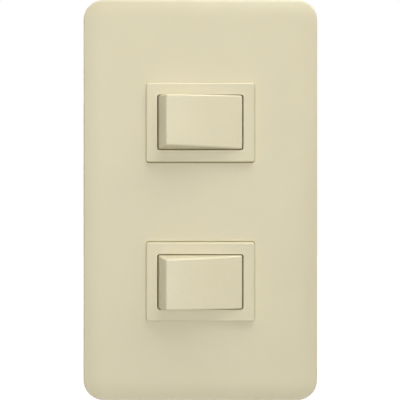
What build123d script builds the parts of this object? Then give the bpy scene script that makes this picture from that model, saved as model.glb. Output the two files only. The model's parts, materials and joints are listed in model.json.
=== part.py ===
from build123d import *
import os
from math import asin, cos, radians, sin, tan

# Two-gang light switch in millimetres: +X right, +Y into the wall, +Z up.
# The wall face is the plane Y = 0, and the origin is midway between the two box screws.

# Cover plate
plate_width = 70.0
plate_height = 120.0
plate_depth = 7.5
plate_corner = 6.0
plate_wall = 2.0
plate_rise = 0.6
plate_side_lean = 13.0
plate_end_lean = 22.0
roll_width = 3.4
roll_depth = 0.54
roll_radius = 18.0
roll_edge = 0.8
window_gap = 0.08
window_edge = 0.3
rib_length = 60.0
rib_width = 1.0
rib_depth = 1.0
rib_spacing = 15.0
pry_width = 8.0
pry_depth = 1.2

# Hooks that snap the plate onto the frame
hook_spacing_x = 40.0
hook_spacing_z = 91.0
hook_width = 6.0
hook_thickness = 1.2
hook_catch = 0.65
hook_play = 0.15
hook_end_gap = 0.6

# Support frame
frame_width = 58.0
frame_height = 100.0
frame_corner = 4.0
frame_plate = 2.0
frame_back = 2.0
frame_rim = 1.6
rail_window = 28.4
place_count = 3
place_pitch = 22.5
place_play = 0.7
stiffener_offset = 2.8
stiffener_width = 1.4
pad_width = 16.0
pad_height = 11.5
pad_wall = 1.5

# Box screws
screw_spacing = 83.5
screw_slot_length = 7.0
screw_slot_width = 3.8
screw_head_radius = 3.3
screw_head_height = 2.0
screw_head_edge = 0.8
screw_neck_radius = 1.5
screw_thread_radius = 1.75
screw_reach = 18.0
screw_point = 0.8
driver_slot = 0.9
driver_depth = 0.9

# Switch modules, in the first and last place of the frame
bezel_width = 30.6
bezel_height = 22.3
bezel_corner = 0.6
bezel_proud = 1.5
bezel_edge = 0.45
opening_width = 24.3
opening_height = 15.6
opening_corner = 0.7
opening_edge = 0.15
lip = 0.8
lip_relief = 0.48
module_width = 27.6
module_height = 21.6
split_y = 1.0
latch_catch = 0.55
latch_play = 0.05
latch_length = 8.0
latch_ramp = 2.7

# Rocker
pivot_depth = 3.0
end_radius = 12.15
face_height = 5.68
face_crown = 0.5
tilt = 12.5
rocker_gap = 0.15
rocker_draft = 7.0
draft_start = 1.0
rocker_skirt = 2.7
rocker_wall = 1.5
rocker_top = 1.4
rocker_edge = 0.5
rocker_end = 0.7
pin_radius = 1.5
pin_play = 0.06
pin_length = 1.9
pin_end_play = 0.2
stem_radius = 3.0
stem_end = 5.0
bore_radius = 1.7
bore_depth = 7.8

# Plunger and spring in the rocker's stem, placed from the rocker's pivot
plunger_radius = 1.6
plunger_start = 3.0
plunger_shoulder = 6.2
nose_radius = 1.0
nose_centre = 8.0
spring_radius = 1.2
spring_wire = 0.4
spring_turns = 6
spring_play = 0.05

# Contact arm, which rocks on the knife edge of the common terminal
arm_tilt = 8.0
arm_thickness = 0.8
arm_width = 5.0
arm_half_length = 8.5
arm_under = 0.1
arm_play = 0.08
arm_lift = 1.9
arm_bend = 0.9
trough_half_width = 2.4
knife_play = 0.05

# Contact rivets
contact_offset = 7.0
contact_radius = 1.5
contact_height = 0.6
contact_edge = 0.25
contact_play = 0.05
rivet_radius = 0.75
rivet_play = 0.03
rivet_tail_radius = 1.2
rivet_tail_height = 0.3

# Terminals and their binding screws
strip = 0.8
strip_width = 7.0
strip_bend = 1.0
strip_play = 0.1
ear_height = 1.05
ear_width = 0.85
ear_play = 0.15
shelf_start = 4.9
shelf_end = 8.8
binding_y = 7.6
binding_rise = 3.4
binding_head_radius = 3.0
binding_head_height = 1.8
binding_radius = 1.65
binding_play = 0.05
binding_length = 2.4
binding_wall_hole = 2.0

# Base housing
base_depth = 12.0
base_floor = 1.5
base_wall = 1.4
base_corner = 0.8
end_wall = 1.2
recess_depth = 2.9
recess_roof = 2.2
recess_height = 12.0
post_width = 2.8
post_cradle = 1.0
post_play = 0.1
post_foot = 5.0
stop_play = 0.06
stop_reach = 2.0
stop_height = 1.4
stop_width = 6.0
clip_spacing = 17.0
clip_width = 4.0
clip_thickness = 1.0
clip_play = 0.1
clip_reach = 3.6
clip_bar = 0.9
catch_width = 2.0
catch_length = 1.2
catch_height = 0.8

# Levels along Y and places of the modules
rail_front = frame_back + frame_plate
bezel_front = plate_depth + bezel_proud
plate_inside = plate_depth - plate_wall
pivot_y = pivot_depth - bezel_front
draft_y = draft_start - bezel_front
base_back = split_y + base_depth
floor_y = base_back - base_floor
latch_y = latch_play - frame_back
catch_y = split_y - clip_reach + clip_bar + clip_play
gang_z = (place_count - 1) * place_pitch / 2
gangs = (("upper", gang_z), ("lower", -gang_z))

# Outlines of the cover plate, whose sides lean in from the wall and whose face rolls down to its edge
side_slope = 2 * tan(radians(plate_side_lean))
end_slope = 2 * tan(radians(plate_end_lean))
rim_y = plate_depth - roll_depth
rim_width = plate_width - side_slope * rim_y
rim_height = plate_height - end_slope * rim_y
hollow_width = plate_width - 2 * plate_wall
hollow_height = plate_height - 2 * plate_wall
hollow_corner = plate_corner - plate_wall
roof_width = hollow_width - side_slope * plate_inside
roof_height = hollow_height - end_slope * plate_inside

# Rocker sizes that follow from its opening and its pins
rocker_half = opening_height / 2 - rocker_gap
pin_end = rocker_half + pin_length
bore_end = stem_end - bore_depth
post_inside = opening_height / 2 + post_play
post_thickness = module_height / 2 - base_wall - post_inside

# The arm pivots behind the plunger's nose, and its trough follows the path of the nose
swing = radians(tilt)
rock = radians(arm_tilt)
nose_level = nose_radius + arm_play + arm_thickness + arm_under
arm_y = pivot_y + nose_centre + nose_level
nose_x = nose_centre * sin(swing)
nose_height = nose_centre + nose_level - nose_centre * cos(swing)
nose_u = nose_x * cos(rock) - nose_height * sin(rock)
nose_rise = nose_height * cos(rock) + nose_x * sin(rock) - nose_level
path_radius = (nose_u**2 + nose_rise**2) / (2 * nose_rise)
trough_radius = path_radius + nose_radius + arm_play + arm_thickness / 2
trough_low = arm_under + arm_thickness / 2
trough_angle = asin(trough_half_width / trough_radius)
trough_high = trough_low + trough_radius * (1 - cos(trough_angle))
wing_start = trough_half_width + (arm_lift - trough_high) / tan(trough_angle)
wing_under = arm_lift - arm_thickness / 2
shelf_level = contact_height + contact_play + contact_height + strip / 2 - wing_under
stop_y = arm_y + arm_half_length * sin(rock) - wing_under * cos(rock) + stop_play

# Places of the terminals in the base housing
recess_x = module_width / 2 - recess_depth
well_half = recess_x - end_wall
recess_y = split_y + recess_roof
binding_x = recess_x + strip / 2
binding_seat = recess_x + strip
leg_y = floor_y - strip / 2
strip_slot = strip / 2 + strip_bend + strip_play
ear_inside = arm_width / 2 + ear_play


def stacked(*outlines):
    """Block through rounded outlines, each given by its depth, width, height and corner radius."""
    with BuildPart() as block:
        for depth, width, height, corner in outlines:
            with BuildSketch(Plane.XZ.offset(depth)):
                RectangleRounded(width, height, corner)
        loft(ruled=True)
    return block.part


def contact_rivet(seat, thickness):
    """Rivet through a strip whose middle is the plane seat, with its contact on the plane's front."""
    with BuildPart() as rivet:
        with BuildSketch(seat.offset(thickness / 2)):
            Circle(contact_radius)
        extrude(amount=contact_height)
        fillet(rivet.faces().sort_by(Axis(seat.origin, seat.z_dir))[-1].edges(), contact_edge)
        with BuildSketch(seat.offset(thickness / 2)):
            Circle(rivet_radius)
        extrude(amount=-thickness)
        with BuildSketch(seat.offset(-thickness / 2)):
            Circle(rivet_tail_radius)
        extrude(amount=-rivet_tail_height)
    return rivet.part


os.makedirs("parts", exist_ok=True)

# Cover plate: shell with two windows, hooks, ribs and a notch to prise it off
hook_y = hook_play - frame_back
hook_tip = -hook_end_gap
with BuildPart() as cover_plate:
    with Locations((0, 0, plate_rise)):
        add(
            stacked(
                (0, plate_width, plate_height, plate_corner),
                (rim_y, rim_width, rim_height, plate_corner),
                (
                    plate_depth,
                    rim_width - 2 * roll_width,
                    rim_height - 2 * roll_width,
                    plate_corner - roll_width,
                ),
            )
        )
    rim = cover_plate.edges().group_by(Axis.Y)[2]
    fillet(rim, roll_edge)
    fillet(cover_plate.faces().sort_by(Axis.Y)[0].edges(), roll_radius)
    with Locations((0, 0, plate_rise)):
        add(
            stacked(
                (0, hollow_width, hollow_height, hollow_corner),
                (plate_inside, roof_width, roof_height, hollow_corner),
            ),
            mode=Mode.SUBTRACT,
        )
    with BuildSketch(Plane.XZ.offset(plate_inside)):
        with GridLocations(0, rib_spacing, 1, 2):
            Rectangle(rib_length, rib_width)
    extrude(amount=-rib_depth)
    for x in (-hook_spacing_x / 2, hook_spacing_x / 2):
        with BuildSketch(Plane.YZ.offset(x)):
            for way in (-1, 1):
                inside = way * hook_spacing_z / 2
                outside = inside + way * hook_thickness
                nib = outside + way * hook_catch
                Polygon(
                    (-plate_inside, inside),
                    (-plate_inside, outside),
                    (hook_y, outside),
                    (hook_y, nib),
                    (hook_tip, outside),
                    (hook_tip, inside),
                    align=None,
                )
        extrude(amount=hook_width / 2, both=True)
    with BuildSketch(Plane.XZ):
        with Locations(*[(0, z) for _, z in gangs]):
            RectangleRounded(
                bezel_width + 2 * window_gap, bezel_height + 2 * window_gap, bezel_corner + window_gap
            )
    extrude(amount=plate_depth, mode=Mode.SUBTRACT)
    fillet(cover_plate.faces().sort_by(Axis.Y)[0].inner_wires().edges(), window_edge)
    with BuildSketch(Plane.XZ):
        with Locations((0, plate_rise - plate_height / 2)):
            Rectangle(pry_width, 2 * plate_wall)
    extrude(amount=pry_depth, mode=Mode.SUBTRACT)
cover_plate.part.label = "cover_plate"
export_step(cover_plate.part, "parts/cover_plate.step")

# Support frame: plate with a rim to the wall, one window for the modules, screw pads and hook slots
window_height = place_count * place_pitch + place_play
ring_width = rail_window + 2 * (stiffener_offset + stiffener_width)
ring_height = window_height + 2 * (stiffener_offset + stiffener_width)
slot_inside = hook_spacing_z / 2 - hook_catch - hook_play
slot_outside = hook_spacing_z / 2 + hook_thickness + hook_play
with BuildPart() as support_frame:
    with BuildSketch(Plane.XZ.offset(frame_back)):
        RectangleRounded(frame_width, frame_height, frame_corner)
    extrude(amount=frame_plate)
    with BuildSketch(Plane.XZ):
        RectangleRounded(frame_width, frame_height, frame_corner)
        RectangleRounded(
            frame_width - 2 * frame_rim,
            frame_height - 2 * frame_rim,
            frame_corner - frame_rim,
            mode=Mode.SUBTRACT,
        )
        Rectangle(ring_width, ring_height)
        Rectangle(ring_width - 2 * stiffener_width, ring_height - 2 * stiffener_width, mode=Mode.SUBTRACT)
        with GridLocations(0, screw_spacing, 1, 2):
            Rectangle(pad_width, pad_height)
    extrude(amount=frame_back)
    with BuildSketch(Plane.XZ):
        Rectangle(rail_window, window_height)
    extrude(amount=rail_front, mode=Mode.SUBTRACT)
    with BuildSketch(Plane.XZ.offset(frame_back)):
        with GridLocations(0, screw_spacing, 1, 2):
            Rectangle(pad_width - 2 * pad_wall, pad_height - 2 * pad_wall)
    extrude(amount=frame_plate, mode=Mode.SUBTRACT)
    with BuildSketch(Plane.XZ):
        with GridLocations(0, screw_spacing, 1, 2):
            SlotOverall(screw_slot_length, screw_slot_width)
        with GridLocations(hook_spacing_x, slot_inside + slot_outside, 2, 2):
            Rectangle(hook_width + 2 * hook_play, slot_outside - slot_inside)
    extrude(amount=rail_front, mode=Mode.SUBTRACT)
support_frame.part.label = "support_frame"
export_step(support_frame.part, "parts/support_frame.step")

# Box screws: rounded head on the pad, neck through the slot and thread behind the wall face
with BuildPart() as box_screws:
    for z in (-screw_spacing / 2, screw_spacing / 2):
        seat = Plane(origin=(0, 0, z), x_dir=(1, 0, 0), z_dir=(0, -1, 0))
        with BuildSketch(seat.offset(frame_back)):
            Circle(screw_head_radius)
        extrude(amount=screw_head_height)
        head = box_screws.edges().filter_by_position(Axis.Z, z, z).sort_by(Axis.Y)[0]
        fillet(head, screw_head_edge)
        with BuildSketch(seat.offset(frame_back + screw_head_height)):
            Rectangle(2 * screw_head_radius, driver_slot)
        extrude(amount=-driver_depth, mode=Mode.SUBTRACT)
        with BuildSketch(seat.offset(frame_back)):
            Circle(screw_neck_radius)
        extrude(amount=-frame_back)
        with BuildSketch(seat):
            Circle(screw_thread_radius)
        extrude(amount=-screw_reach)
        tip = box_screws.edges().filter_by_position(Axis.Z, z, z).sort_by(Axis.Y)[-1]
        chamfer(tip, screw_point)
box_screws.part.label = "box_screws"
export_step(box_screws.part, "parts/box_screws.step")

# The two switch modules, each built about the height of its own place
for gang, z in gangs:
    section = Plane.XY.offset(z)
    front = Plane(origin=(0, 0, z), x_dir=(1, 0, 0), z_dir=(0, -1, 0))
    side = Plane(origin=(0, 0, z), x_dir=(0, 1, 0), z_dir=(1, 0, 0))
    pivot = (0, pivot_y, z)
    tipped = Plane(origin=pivot, x_dir=(cos(swing), sin(swing), 0), z_dir=(0, 0, 1))
    stem = Plane(origin=pivot, x_dir=(0, 0, 1), z_dir=(-sin(swing), cos(swing), 0))
    knife = (0, arm_y, z)
    arm_off = Plane(origin=knife, x_dir=(cos(rock), -sin(rock), 0), z_dir=(0, 0, 1))
    arm_on = Plane(origin=knife, x_dir=(cos(rock), sin(rock), 0), z_dir=(0, 0, 1))

    # Front housing: bezel, walls through the frame, bearing slots, latches and catches for the clips
    with BuildPart() as front_housing:
        with BuildSketch(front.offset(rail_front)):
            RectangleRounded(bezel_width, bezel_height, bezel_corner)
        extrude(amount=bezel_front - rail_front)
        with BuildSketch(front.offset(bezel_front)):
            RectangleRounded(opening_width, opening_height, opening_corner)
        extrude(amount=-lip, mode=Mode.SUBTRACT)
        fillet(front_housing.faces().sort_by(Axis.Y)[0].outer_wire().edges(), bezel_edge)
        fillet(front_housing.faces().sort_by(Axis.Y)[0].inner_wires().edges(), opening_edge)
        with BuildSketch(front.offset(rail_front)):
            Rectangle(module_width, module_height)
        extrude(amount=-(rail_front + split_y))
        with BuildSketch(front.offset(bezel_front - lip)):
            Rectangle(opening_width + 2 * lip_relief, opening_height)
        extrude(amount=-(bezel_front - lip + split_y), mode=Mode.SUBTRACT)
        with BuildSketch(section):
            with Locations((0, pivot_y)):
                Circle(pin_radius + pin_play)
                Rectangle(
                    2 * (pin_radius + pin_play), split_y - pivot_y, align=(Align.CENTER, Align.MIN)
                )
        extrude(amount=pin_end + pin_end_play, both=True, mode=Mode.SUBTRACT)
        with BuildSketch(section):
            for way in (-1, 1):
                Polygon(
                    (way * module_width / 2, latch_y),
                    (way * (rail_window / 2 + latch_catch), latch_y),
                    (way * module_width / 2, latch_y + latch_ramp),
                    align=None,
                )
        extrude(amount=latch_length / 2, both=True)
        with BuildSketch(front.offset(-split_y)):
            with GridLocations(clip_spacing, module_height, 2, 2):
                Rectangle(clip_width + 2 * clip_play, 2 * (clip_thickness + clip_play))
        extrude(amount=clip_reach + clip_play, mode=Mode.SUBTRACT)
        for x in (-clip_spacing / 2, clip_spacing / 2):
            with BuildSketch(side.offset(x)):
                for way in (-1, 1):
                    ground = way * (module_height / 2 - clip_thickness - clip_play)
                    Polygon(
                        (catch_y, ground),
                        (catch_y, ground + way * catch_height),
                        (catch_y + catch_length, ground),
                        align=None,
                    )
            extrude(amount=catch_width / 2, both=True)
    front_housing.part.label = f"{gang}_front_housing"
    export_step(front_housing.part, f"parts/{gang}_front_housing.step")

    # Base housing: box with recesses for the terminal screws, bearing posts, clips and a stop for the arm
    with BuildPart() as base_housing:
        with BuildSketch(front.offset(-split_y)):
            RectangleRounded(module_width, module_height, base_corner)
        extrude(amount=-base_depth)
        with BuildSketch(front.offset(-split_y)):
            Rectangle(2 * well_half, module_height - 2 * base_wall)
        extrude(amount=base_floor - base_depth, mode=Mode.SUBTRACT)
        with BuildSketch(section):
            with Locations((-module_width / 2, recess_y), (module_width / 2, recess_y)):
                Rectangle(2 * recess_depth, base_back - recess_y, align=(Align.CENTER, Align.MIN))
        extrude(amount=recess_height / 2, both=True, mode=Mode.SUBTRACT)
        with BuildSketch(section):
            with Locations((0, floor_y)):
                Rectangle(module_width, strip_slot, align=(Align.CENTER, Align.MAX))
        extrude(amount=strip_width / 2 + strip_play, both=True, mode=Mode.SUBTRACT)
        with BuildSketch(side):
            with Locations((binding_y, 0)):
                Circle(binding_wall_hole)
        extrude(amount=module_width / 2, both=True, mode=Mode.SUBTRACT)
        for level in (post_inside, -post_inside - post_thickness):
            with BuildSketch(section.offset(level)):
                with Locations((0, pivot_y + post_cradle)):
                    Rectangle(
                        post_width,
                        split_y + post_foot - pivot_y - post_cradle,
                        align=(Align.CENTER, Align.MIN),
                    )
                with Locations((0, pivot_y)):
                    Circle(pin_radius + pin_play, mode=Mode.SUBTRACT)
            extrude(amount=post_thickness)
        with BuildSketch(front.offset(-split_y)):
            with GridLocations(clip_spacing, module_height - clip_thickness, 2, 2):
                Rectangle(clip_width, clip_thickness)
        extrude(amount=clip_reach)
        with BuildSketch(section):
            with Locations((0, catch_y - clip_play)):
                with GridLocations(clip_spacing, 0, 2, 1):
                    Rectangle(
                        catch_width + 2 * clip_play,
                        catch_length + 2 * clip_play,
                        align=(Align.CENTER, Align.MIN),
                    )
        extrude(amount=module_height / 2, both=True, mode=Mode.SUBTRACT)
        with BuildSketch(section):
            with Locations((-well_half, stop_y)):
                Rectangle(stop_reach, stop_height, align=(Align.MIN, Align.MIN))
        extrude(amount=stop_width / 2, both=True)
    base_housing.part.label = f"{gang}_base_housing"
    export_step(base_housing.part, f"parts/{gang}_base_housing.step")

    # Rocker: hollow shell with round ends about its pins, and a bored stem for the plunger
    with BuildPart() as rocker:
        with BuildSketch(tipped) as profile:
            with BuildLine():
                face = ThreePointArc(
                    (-end_radius, -face_height), (0, -face_height - face_crown), (end_radius, -face_height)
                )
                Polyline(face @ 1, (end_radius, rocker_skirt), (-end_radius, rocker_skirt), face @ 0)
            make_face()
            Circle(end_radius, mode=Mode.INTERSECT)
            fillet(profile.vertices().group_by(Axis.Y)[0], rocker_end)
        extrude(amount=rocker_half, both=True)
        with BuildSketch(side):
            for way in (-1, 1):
                Polygon(
                    (draft_y, way * rocker_half),
                    (draft_y, way * opening_height / 2),
                    (draft_y - end_radius, way * opening_height / 2),
                    (draft_y - end_radius, way * (rocker_half - end_radius * tan(radians(rocker_draft)))),
                    align=None,
                )
        extrude(amount=2 * end_radius, both=True, mode=Mode.SUBTRACT)
        fillet(rocker.edges().filter_by(GeomType.ELLIPSE), rocker_edge)
        with BuildSketch(tipped):
            Circle(end_radius - rocker_wall)
            with Locations((0, rocker_top - face_height)):
                Rectangle(
                    2 * end_radius, 2 * end_radius, align=(Align.CENTER, Align.MIN), mode=Mode.INTERSECT
                )
        extrude(amount=rocker_half - rocker_wall, both=True, mode=Mode.SUBTRACT)
        with BuildSketch(stem.offset(rocker_top - face_height)):
            Circle(stem_radius)
        extrude(amount=face_height - rocker_top + stem_end)
        with BuildSketch(tipped):
            Circle(pin_radius)
        extrude(amount=pin_end, both=True)
        with BuildSketch(stem.offset(stem_end)):
            Circle(bore_radius)
        extrude(amount=-bore_depth, mode=Mode.SUBTRACT)
    rocker.part.label = f"{gang}_rocker"
    export_step(rocker.part, f"parts/{gang}_rocker.step")

    # Plunger: turned pin with a round nose
    with BuildPart() as plunger:
        with BuildSketch(tipped):
            with BuildLine():
                flank = Polyline(
                    (0, plunger_start),
                    (plunger_radius, plunger_start),
                    (plunger_radius, plunger_shoulder),
                    (nose_radius, plunger_shoulder + plunger_radius - nose_radius),
                    (nose_radius, nose_centre),
                )
                nose = CenterArc((0, nose_centre), nose_radius, 0, 90)
                Line(nose @ 1, flank @ 0)
            make_face()
        revolve(axis=Axis(pivot, stem.z_dir))
    plunger.part.label = f"{gang}_plunger"
    export_step(plunger.part, f"parts/{gang}_plunger.step")

    # Detent spring: coil between the blind end of the stem's bore and the plunger
    spring_start = stem.offset(bore_end + spring_play + spring_wire / 2).origin
    spring_length = plunger_start - bore_end - 2 * spring_play - spring_wire
    with BuildPart() as detent_spring:
        with BuildLine() as coil:
            Helix(
                spring_length / spring_turns,
                spring_length,
                spring_radius,
                center=spring_start,
                direction=stem.z_dir,
            )
        with BuildSketch(Plane(origin=coil.line @ 0, z_dir=coil.line % 0)):
            Circle(spring_wire / 2)
        sweep()
    detent_spring.part.label = f"{gang}_detent_spring"
    export_step(detent_spring.part, f"parts/{gang}_detent_spring.step")

    # Contact arm: bent strip with a trough for the plunger and a groove for the knife edge
    moving_seat = Plane(
        origin=arm_off.from_local_coords((contact_offset, -arm_lift)),
        x_dir=(0, 0, 1),
        z_dir=arm_off.y_dir,
    )
    with BuildPart() as contact_arm:
        with BuildSketch(arm_off):
            with BuildLine():
                trough = ThreePointArc(
                    (-trough_half_width, -trough_high),
                    (0, -trough_low),
                    (trough_half_width, -trough_high),
                )
                FilletPolyline(
                    trough @ 1, (wing_start, -arm_lift), (arm_half_length, -arm_lift), radius=arm_bend
                )
                FilletPolyline(
                    trough @ 0, (-wing_start, -arm_lift), (-arm_half_length, -arm_lift), radius=arm_bend
                )
            trace(line_width=arm_thickness)
            Circle(strip / 2 + knife_play, mode=Mode.SUBTRACT)
        extrude(amount=arm_width / 2, both=True)
        with BuildSketch(moving_seat):
            Circle(rivet_radius + rivet_play)
        extrude(amount=arm_thickness, both=True, mode=Mode.SUBTRACT)
    contact_arm.part.label = f"{gang}_contact_arm"
    export_step(contact_arm.part, f"parts/{gang}_contact_arm.step")

    with BuildPart() as moving_contact:
        add(contact_rivet(moving_seat, arm_thickness))
    moving_contact.part.label = f"{gang}_moving_contact"
    export_step(moving_contact.part, f"parts/{gang}_moving_contact.step")

    # Common terminal: screw plate, leg along the floor and knife edge between two ears
    with BuildPart() as common_terminal:
        with BuildSketch(section):
            with BuildLine():
                FilletPolyline(
                    (-binding_x, binding_y - binding_rise),
                    (-binding_x, leg_y),
                    (0, leg_y),
                    (0, arm_y),
                    radius=strip_bend,
                )
            trace(line_width=strip)
            with Locations((0, arm_y)):
                Circle(strip / 2)
        extrude(amount=strip_width / 2, both=True)
        for level in (ear_inside, -ear_inside - ear_width):
            with BuildSketch(section.offset(level)):
                with Locations((0, arm_y)):
                    Rectangle(strip, ear_height, align=(Align.CENTER, Align.MAX))
            extrude(amount=ear_width)
        with BuildSketch(side.offset(-binding_x)):
            with Locations((binding_y, 0)):
                Circle(binding_radius + binding_play)
        extrude(amount=strip, both=True, mode=Mode.SUBTRACT)
    common_terminal.part.label = f"{gang}_common_terminal"
    export_step(common_terminal.part, f"parts/{gang}_common_terminal.step")

    # Switched terminal: screw plate, leg along the floor, riser and a shelf for the fixed contact
    shelf_near = arm_on.from_local_coords((shelf_start, shelf_level))
    shelf_far = arm_on.from_local_coords((shelf_end, shelf_level))
    fixed_seat = Plane(
        origin=arm_on.from_local_coords((contact_offset, shelf_level)),
        x_dir=(0, 0, 1),
        z_dir=-arm_on.y_dir,
    )
    with BuildPart() as switched_terminal:
        with BuildSketch(section):
            with BuildLine():
                FilletPolyline(
                    (binding_x, binding_y - binding_rise),
                    (binding_x, leg_y),
                    (shelf_near.X, leg_y),
                    (shelf_near.X, shelf_near.Y),
                    (shelf_far.X, shelf_far.Y),
                    radius=strip_bend,
                )
            trace(line_width=strip)
        extrude(amount=strip_width / 2, both=True)
        with BuildSketch(side.offset(binding_x)):
            with Locations((binding_y, 0)):
                Circle(binding_radius + binding_play)
        extrude(amount=strip, both=True, mode=Mode.SUBTRACT)
        with BuildSketch(fixed_seat):
            Circle(rivet_radius + rivet_play)
        extrude(amount=strip, both=True, mode=Mode.SUBTRACT)
    switched_terminal.part.label = f"{gang}_switched_terminal"
    export_step(switched_terminal.part, f"parts/{gang}_switched_terminal.step")

    with BuildPart() as fixed_contact:
        add(contact_rivet(fixed_seat, strip))
    fixed_contact.part.label = f"{gang}_fixed_contact"
    export_step(fixed_contact.part, f"parts/{gang}_fixed_contact.step")

    # Terminal screws: slotted heads on the screw plates, one at each end of the module
    with BuildPart() as terminal_screws:
        for way in (-1, 1):
            seat = Plane(origin=(way * binding_seat, binding_y, z), x_dir=(0, 0, 1), z_dir=(way, 0, 0))
            with BuildSketch(seat):
                Circle(binding_head_radius)
            extrude(amount=binding_head_height)
            with BuildSketch(seat.offset(binding_head_height)):
                Rectangle(2 * binding_head_radius, driver_slot)
            extrude(amount=-driver_depth, mode=Mode.SUBTRACT)
            with BuildSketch(seat):
                Circle(binding_radius)
            extrude(amount=-binding_length)
    terminal_screws.part.label = f"{gang}_terminal_screws"
    export_step(terminal_screws.part, f"parts/{gang}_terminal_screws.step")
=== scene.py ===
import json
from math import atan, cos, radians, sin, tau

import bmesh
import bpy
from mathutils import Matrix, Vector


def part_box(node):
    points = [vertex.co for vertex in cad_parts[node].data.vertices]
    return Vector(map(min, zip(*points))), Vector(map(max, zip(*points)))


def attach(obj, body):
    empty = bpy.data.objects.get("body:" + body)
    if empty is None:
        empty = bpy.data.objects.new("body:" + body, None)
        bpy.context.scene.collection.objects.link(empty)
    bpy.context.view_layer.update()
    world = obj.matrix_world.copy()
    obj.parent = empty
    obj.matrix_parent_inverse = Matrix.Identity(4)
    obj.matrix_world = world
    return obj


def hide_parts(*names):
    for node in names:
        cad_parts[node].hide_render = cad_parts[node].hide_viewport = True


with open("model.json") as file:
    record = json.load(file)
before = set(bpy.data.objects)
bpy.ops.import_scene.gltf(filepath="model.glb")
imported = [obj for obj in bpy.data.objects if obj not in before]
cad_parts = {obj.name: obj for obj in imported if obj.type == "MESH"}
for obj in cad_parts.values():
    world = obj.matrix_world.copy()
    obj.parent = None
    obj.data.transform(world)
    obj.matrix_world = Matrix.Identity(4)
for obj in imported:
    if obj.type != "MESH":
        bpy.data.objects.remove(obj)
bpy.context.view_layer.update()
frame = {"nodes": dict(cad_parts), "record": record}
scene = bpy.context.scene
scene.view_settings.view_transform = "Standard"
plate_low, plate_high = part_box("cover_plate")
plate_middle = (plate_low + plate_high) / 2
white = (1, 1, 1, 1)

# Camera in metres: distance from the wall, shift to the side, nearest thing seen and height of wall seen
camera_distance = 0.1487
camera_side = -0.0001
camera_clip = 0.0015
view_height = 0.1199

# Lamps: place from the plate's middle and size in metres, power in watts
lamps = {
    "key_light": {"place": (0.11, -0.16, 0.45), "size": 0.42, "power": 2.14},
    "fill_light": {"place": (-0.06, -0.50, -0.01), "size": 0.50, "power": 1.52},
    "back_light": {"place": (-0.25, 0.50, 0.06), "size": 0.40, "power": 1.9},
}

# Room light, from its bright side to its dark side, as shares of white
bright_side = (1, 0, 0)
ambient_bright = 0.45
ambient_dark = 0.04

# Floor: size and distance below the plate in metres, greys of its patches, and how much it glows to the eye
floor_size = 6.0
floor_drop = 0.30
floor_dark = (0.50, 0.50, 0.49, 1)
floor_pale = (0.54, 0.54, 0.53, 1)
floor_patch = 30
floor_roughness = 0.8
floor_glow = 0.9

# Noise: where most of its values lie, and its detail in plain, patched and grained surfaces
noise_low = 0.3
noise_high = 0.7
plain_detail = 2.0
patch_detail = 3.0
grain_detail = 4.0
grain_strength = 0.5

# Finish of each material slot: colour of 0 to 255 with its change from patch to patch, roughness and grain.
# Patches and grain are so many to the metre, and the grain's depth and the scatter of light are in metres.
even = (1, 1, 1)
brushed = (1, 1, 6)
finishes = {
    "plate_ivory": {
        "colour": (219, 211, 182), "change": 0.012, "patch": 60,
        "roughness": (0.32, 0.40), "grain": 2600, "depth": 6e-6, "scatter": 3.2e-4,
    },
    "rocker_ivory": {
        "colour": (223, 215, 187), "change": 0.012, "patch": 90,
        "roughness": (0.26, 0.34), "grain": 2600, "depth": 1.5e-6, "scatter": 3.2e-4,
    },
    "frame_plastic": {
        "colour": (226, 224, 216), "change": 0.02, "patch": 80,
        "roughness": (0.45, 0.6), "grain": 1800, "depth": 2e-5,
    },
    "base_plastic": {
        "colour": (168, 168, 164), "change": 0.03, "patch": 90,
        "roughness": (0.45, 0.6), "grain": 1800, "depth": 2e-5,
    },
    "plunger_plastic": {
        "colour": (236, 236, 230), "change": 0.02, "patch": 200,
        "roughness": (0.3, 0.4), "grain": 2600, "depth": 1e-5,
    },
    "zinc_steel": {
        "colour": (172, 173, 172), "change": 0.08, "patch": 500,
        "roughness": (0.22, 0.38), "grain": 3000, "depth": 1e-5, "metallic": 1.0,
    },
    "spring_steel": {
        "colour": (158, 159, 160), "change": 0.08, "patch": 600,
        "roughness": (0.2, 0.34), "grain": 3000, "depth": 1e-5, "metallic": 1.0,
    },
    "brass": {
        "colour": (222, 186, 112), "change": 0.08, "patch": 300,
        "roughness": (0.22, 0.36), "grain": 900, "depth": 8e-6, "metallic": 1.0, "stretch": brushed,
    },
    "copper_strip": {
        "colour": (214, 158, 112), "change": 0.08, "patch": 300,
        "roughness": (0.22, 0.36), "grain": 900, "depth": 8e-6, "metallic": 1.0, "stretch": brushed,
    },
    "contact_silver": {
        "colour": (228, 228, 224), "change": 0.05, "patch": 400,
        "roughness": (0.14, 0.24), "grain": 2600, "depth": 6e-6, "metallic": 1.0,
    },
}

# Box screws in metres, placed by the plain ones, with the thread from the wall face to the point
screws_low, screws_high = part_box("box_screws")
head_radius = (screws_high.x - screws_low.x) / 2
head_front = screws_low.y
head_height = 0.002
head_edge = 0.0008
head_edge_steps = 6
driver_slot = 0.0009
neck_radius = 0.0015
thread_radius = 0.00175
thread_root = 0.00138
thread_pitch = 0.0006
thread_flat = 0.06
thread_length = screws_high.y
point_radius = 0.00095
screw_spacing = screws_high.z - screws_low.z - 2 * head_radius
turn_steps = 40
weld_distance = 1e-7
sharp_angle = 35


# Camera, square on to the plate
camera = bpy.data.objects.new("camera", bpy.data.cameras.new("camera"))
camera.data.angle = 2 * atan(view_height / 2 / camera_distance)
camera.data.clip_start = camera_clip
camera.location = (plate_middle.x + camera_side, -camera_distance, plate_middle.z)
camera.rotation_euler = (radians(90), 0, 0)
scene.collection.objects.link(camera)
scene.camera = camera


# Shader helpers
def linear(colour):
    """Colour of 0 to 255 as three shares of linear light."""
    shares = [channel / 255 for channel in colour]
    return [s / 12.92 if s <= 0.04045 else ((s + 0.055) / 1.055) ** 2.4 for s in shares]


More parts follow.
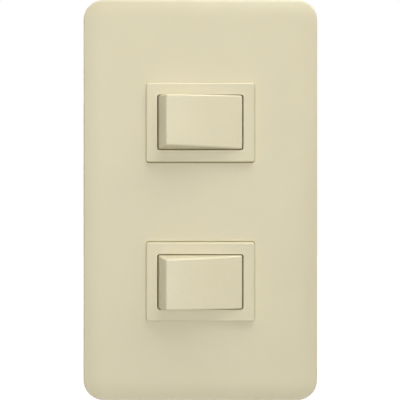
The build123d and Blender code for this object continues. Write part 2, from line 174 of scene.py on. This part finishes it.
def noise(tree, scale, detail=plain_detail, stretch=even):
    """Noise fixed to the piece, with features of about one over scale metres."""
    place = tree.nodes.new("ShaderNodeTexCoord")
    mapping = tree.nodes.new("ShaderNodeMapping")
    texture = tree.nodes.new("ShaderNodeTexNoise")
    mapping.inputs["Scale"].default_value = stretch
    texture.inputs["Scale"].default_value = scale
    texture.inputs["Detail"].default_value = detail
    tree.links.new(place.outputs["Object"], mapping.inputs["Vector"])
    tree.links.new(mapping.outputs["Vector"], texture.inputs["Vector"])
    return texture.outputs["Fac"]


def number_between(tree, value, low, high):
    """Noise value spread over low to high."""
    spread = tree.nodes.new("ShaderNodeMapRange")
    spread.inputs["From Min"].default_value = noise_low
    spread.inputs["From Max"].default_value = noise_high
    spread.inputs["To Min"].default_value = low
    spread.inputs["To Max"].default_value = high
    tree.links.new(value, spread.inputs["Value"])
    return spread.outputs["Result"]


def colour_between(tree, value, low, high):
    """Colour from low to high by a noise value."""
    mix = tree.nodes.new("ShaderNodeMix")
    mix.data_type = "RGBA"
    mix.inputs["A"].default_value = low
    mix.inputs["B"].default_value = high
    tree.links.new(number_between(tree, value, 0, 1), mix.inputs["Factor"])
    return mix.outputs["Result"]


def seen_directly(tree):
    """1 for what the camera sees, also in a gloss or through glass, and 0 for light on a surface."""
    path = tree.nodes.new("ShaderNodeLightPath")
    seen = path.outputs["Is Camera Ray"]
    for ray in ("Is Glossy Ray", "Is Transmission Ray"):
        either = tree.nodes.new("ShaderNodeMath")
        either.operation = "MAXIMUM"
        tree.links.new(seen, either.inputs[0])
        tree.links.new(path.outputs[ray], either.inputs[1])
        seen = either.outputs[0]
    return seen


def surface(name, colour, change, patch, roughness, grain, depth, stretch=even, metallic=0.0, scatter=0.0):
    """Material with soft patches of colour, a fine grain and light that may spread below the surface."""
    material = bpy.data.materials.new(name)
    material.use_nodes = True
    tree = material.node_tree
    shader = tree.nodes["Principled BSDF"]
    shader.inputs["Metallic"].default_value = metallic
    shader.inputs["Subsurface Weight"].default_value = 1.0 if scatter else 0.0
    shader.inputs["Subsurface Radius"].default_value = (1, 1, 1)
    shader.inputs["Subsurface Scale"].default_value = scatter
    patches = noise(tree, patch, patch_detail, stretch)
    low = [c * (1 - change) for c in linear(colour)] + [1]
    high = [c * (1 + change) for c in linear(colour)] + [1]
    tree.links.new(colour_between(tree, patches, low, high), shader.inputs["Base Color"])
    fine = noise(tree, grain, grain_detail, stretch)
    tree.links.new(number_between(tree, fine, *roughness), shader.inputs["Roughness"])
    bump = tree.nodes.new("ShaderNodeBump")
    bump.inputs["Strength"].default_value = grain_strength
    bump.inputs["Distance"].default_value = depth
    tree.links.new(fine, bump.inputs["Height"])
    tree.links.new(bump.outputs["Normal"], shader.inputs["Normal"])
    return material


# One material for each slot of the record
materials = {slot: surface(slot, **finish) for slot, finish in finishes.items()}
for subpart in frame["record"]["subparts"]:
    node = frame["nodes"][subpart["node"]]
    node.material_slots[0].material = materials[subpart["material_slot"]]


# Box screws with cut threads, turned about the Y axis and shown in place of the plain ones
def finished_mesh(shape, name):
    """Mesh of a shape that is complete and no longer needed."""
    mesh = bpy.data.meshes.new(name)
    shape.to_mesh(mesh)
    shape.free()
    return mesh


def lathe(shape, profile):
    """Surface of revolution through points of radius and depth, with one point where it meets the axis."""
    rings = []
    for radius, depth in profile:
        count = turn_steps if radius else 1
        ring = []
        for step in range(count):
            angle = tau * step / turn_steps
            ring.append(shape.verts.new((radius * cos(angle), depth, radius * sin(angle))))
        rings.append(ring)
    for near, far in zip(rings, rings[1:]):
        for step in range(turn_steps):
            corners = [near[step % len(near)], near[(step + 1) % len(near)]]
            corners += [far[(step + 1) % len(far)], far[step % len(far)]]
            shape.faces.new(dict.fromkeys(corners))


def half_head(side):
    """Rounded top of the head on one side of the driver slot."""
    half = bmesh.new()
    edge_middle = head_radius - head_edge
    profile = [(0, head_front), (edge_middle, head_front)]
    for step in range(1, head_edge_steps + 1):
        angle = radians(90 * step / head_edge_steps)
        profile.append((edge_middle + head_edge * sin(angle), head_front + head_edge * (1 - cos(angle))))
    profile.append((head_radius, head_front + driver_slot))
    profile.append((0, head_front + driver_slot))
    lathe(half, profile)
    cut = bmesh.ops.bisect_plane(
        half,
        geom=half.verts[:] + half.edges[:] + half.faces[:],
        plane_co=(0, 0, side * driver_slot / 2),
        plane_no=(0, 0, side),
        clear_inner=True,
    )
    bmesh.ops.edgenet_fill(half, edges=[e for e in cut["geom_cut"] if isinstance(e, bmesh.types.BMEdge)])
    return half


def thread(shape):
    """Helical V thread from the neck to the point."""
    profile = (
        (thread_flat, thread_root),
        (0.5 - thread_flat, thread_radius),
        (0.5 + thread_flat, thread_radius),
        (1 - thread_flat, thread_root),
    )
    turns = round(thread_length / thread_pitch)
    rows = []
    for turn in range(-1, turns + 1):
        for share, radius in profile:
            row = []
            for step in range(turn_steps):
                depth = thread_pitch * (turn + share + step / turn_steps)
                depth = min(max(depth, 0), thread_length)
                reach = min(radius, neck_radius + depth, point_radius + thread_length - depth)
                angle = tau * step / turn_steps
                row.append(shape.verts.new((reach * cos(angle), depth, reach * sin(angle))))
            rows.append(row)
    for near in range(len(rows) - 1 - len(profile)):
        for step in range(turn_steps):
            if step + 1 < turn_steps:
                ahead = (rows[near][step + 1], rows[near + 1][step + 1])
            else:
                ahead = (rows[near + len(profile)][0], rows[near + 1 + len(profile)][0])
            shape.faces.new((rows[near][step], ahead[0], ahead[1], rows[near + 1][step]))


def one_screw():
    """Screw along Y: head below the slot, neck, core and thread, then the two halves of the head's top."""
    screw = bmesh.new()
    lathe(
        screw,
        [
            (0, head_front + driver_slot),
            (head_radius, head_front + driver_slot),
            (head_radius, head_front + head_height),
            (neck_radius, head_front + head_height),
            (neck_radius, 0),
            (thread_root, 0),
            (thread_root, thread_length + point_radius - thread_root),
            (point_radius, thread_length),
            (0, thread_length),
        ],
    )
    thread(screw)
    bmesh.ops.remove_doubles(screw, verts=screw.verts[:], dist=weld_distance)
    bmesh.ops.dissolve_degenerate(screw, edges=screw.edges[:], dist=weld_distance)
    for side in (-1, 1):
        top = finished_mesh(half_head(side), "half_head")
        screw.from_mesh(top)
        bpy.data.meshes.remove(top)
    bmesh.ops.recalc_face_normals(screw, faces=screw.faces[:])
    return finished_mesh(screw, "one_screw")


screw = one_screw()
pair = bmesh.new()
for level in (-screw_spacing / 2, screw_spacing / 2):
    before = len(pair.verts)
    pair.from_mesh(screw)
    pair.verts.ensure_lookup_table()
    bmesh.ops.translate(pair, vec=(0, 0, level), verts=pair.verts[before:])
bpy.data.meshes.remove(screw)
threaded = finished_mesh(pair, "threaded_screws")
threaded.polygons.foreach_set("use_smooth", [True] * len(threaded.polygons))
threaded.set_sharp_from_angle(angle=radians(sharp_angle))
threaded.materials.append(materials["zinc_steel"])
threaded_screws = bpy.data.objects.new("threaded_screws", threaded)
scene.collection.objects.link(threaded_screws)
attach(threaded_screws, "switch_body")
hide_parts("box_screws")


# Floor below the plate, white to the eye but lit as a pale floor
def pale_floor():
    """Material of the floor, with faint patches and a glow that lights nothing."""
    material = bpy.data.materials.new("pale_floor")
    material.use_nodes = True
    tree = material.node_tree
    shader = tree.nodes["Principled BSDF"]
    shader.inputs["Roughness"].default_value = floor_roughness
    shade = colour_between(tree, noise(tree, floor_patch), floor_dark, floor_pale)
    tree.links.new(shade, shader.inputs["Base Color"])
    glow = tree.nodes.new("ShaderNodeMath")
    glow.operation = "MULTIPLY"
    glow.inputs[1].default_value = floor_glow
    tree.links.new(seen_directly(tree), glow.inputs[0])
    shader.inputs["Emission Color"].default_value = white
    tree.links.new(glow.outputs[0], shader.inputs["Emission Strength"])
    return material


sheet = bmesh.new()
bmesh.ops.create_grid(sheet, x_segments=1, y_segments=1, size=floor_size / 2)
ground = finished_mesh(sheet, "floor")
ground.materials.append(pale_floor())
floor_piece = bpy.data.objects.new("floor", ground)
floor_piece.location = (0, 0, plate_low.z - floor_drop)
scene.collection.objects.link(floor_piece)


# Soft lights in front, above and behind, and a pale room that is brighter on one side
def soft_light(name, place, size, power):
    """Square lamp at its place from the plate's middle, turned towards it."""
    lamp = bpy.data.objects.new(name, bpy.data.lights.new(name, "AREA"))
    lamp.data.size = size
    lamp.data.energy = power
    lamp.location = plate_middle + Vector(place)
    lamp.rotation_euler = (-Vector(place)).to_track_quat("-Z", "Y").to_euler()
    scene.collection.objects.link(lamp)


def pale_room():
    """World that lights the part from one side more than the other, and looks white."""
    world = bpy.data.worlds.new("room")
    world.use_nodes = True
    tree = world.node_tree
    place = tree.nodes.new("ShaderNodeTexCoord")
    facing = tree.nodes.new("ShaderNodeVectorMath")
    facing.operation = "DOT_PRODUCT"
    facing.inputs[1].default_value = bright_side
    tree.links.new(place.outputs["Generated"], facing.inputs[0])
    level = tree.nodes.new("ShaderNodeMapRange")
    level.inputs["From Min"].default_value = -1
    level.inputs["To Min"].default_value = ambient_dark
    level.inputs["To Max"].default_value = ambient_bright
    tree.links.new(facing.outputs["Value"], level.inputs["Value"])
    light = tree.nodes["Background"]
    light.inputs["Color"].default_value = white
    tree.links.new(level.outputs["Result"], light.inputs["Strength"])
    backdrop = tree.nodes.new("ShaderNodeBackground")
    backdrop.inputs["Color"].default_value = white
    choose = tree.nodes.new("ShaderNodeMixShader")
    tree.links.new(seen_directly(tree), choose.inputs["Fac"])
    tree.links.new(light.outputs["Background"], choose.inputs[1])
    tree.links.new(backdrop.outputs["Background"], choose.inputs[2])
    tree.links.new(choose.outputs["Shader"], tree.nodes["World Output"].inputs["Surface"])
    return world


for name, lamp in lamps.items():
    soft_light(name, **lamp)
scene.world = pale_room()
